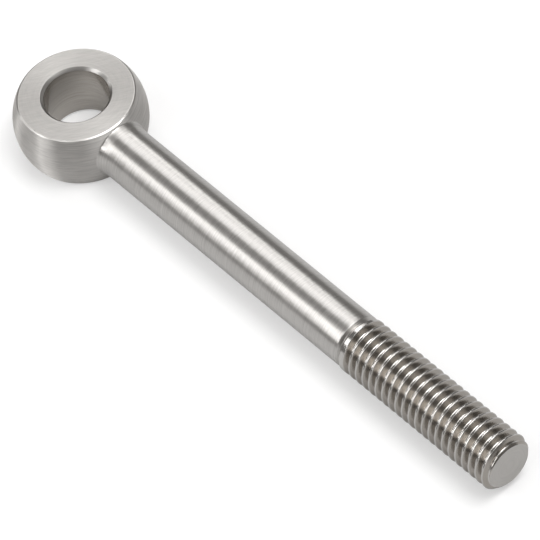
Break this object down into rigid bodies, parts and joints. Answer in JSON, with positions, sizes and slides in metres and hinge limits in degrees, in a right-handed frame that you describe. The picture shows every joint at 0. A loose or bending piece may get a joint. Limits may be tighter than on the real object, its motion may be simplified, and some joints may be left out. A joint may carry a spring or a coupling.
{
  "type": "swing eye bolt",
  "caption": "Swing eye bolt in one piece: a ball eye with two flat faces and a chamfered bore, a plain turned shank and an M8 external thread with a chamfered end.",
  "frame": {"origin": "centre of the eye: on the bore's axis, half way between the two flat faces", "axes": "+X along the shank towards the threaded end, +Z along the eye's bore, +Y across the bolt"},
  "size_m": [0.0932, 0.0184, 0.009],
  "materials": {
    "turned_steel": "bright turned stainless steel with fine turning marks"
  },
  "bodies": {
    "root": {"eye_bolt": "turned_steel"}
  },
  "joints": []
}
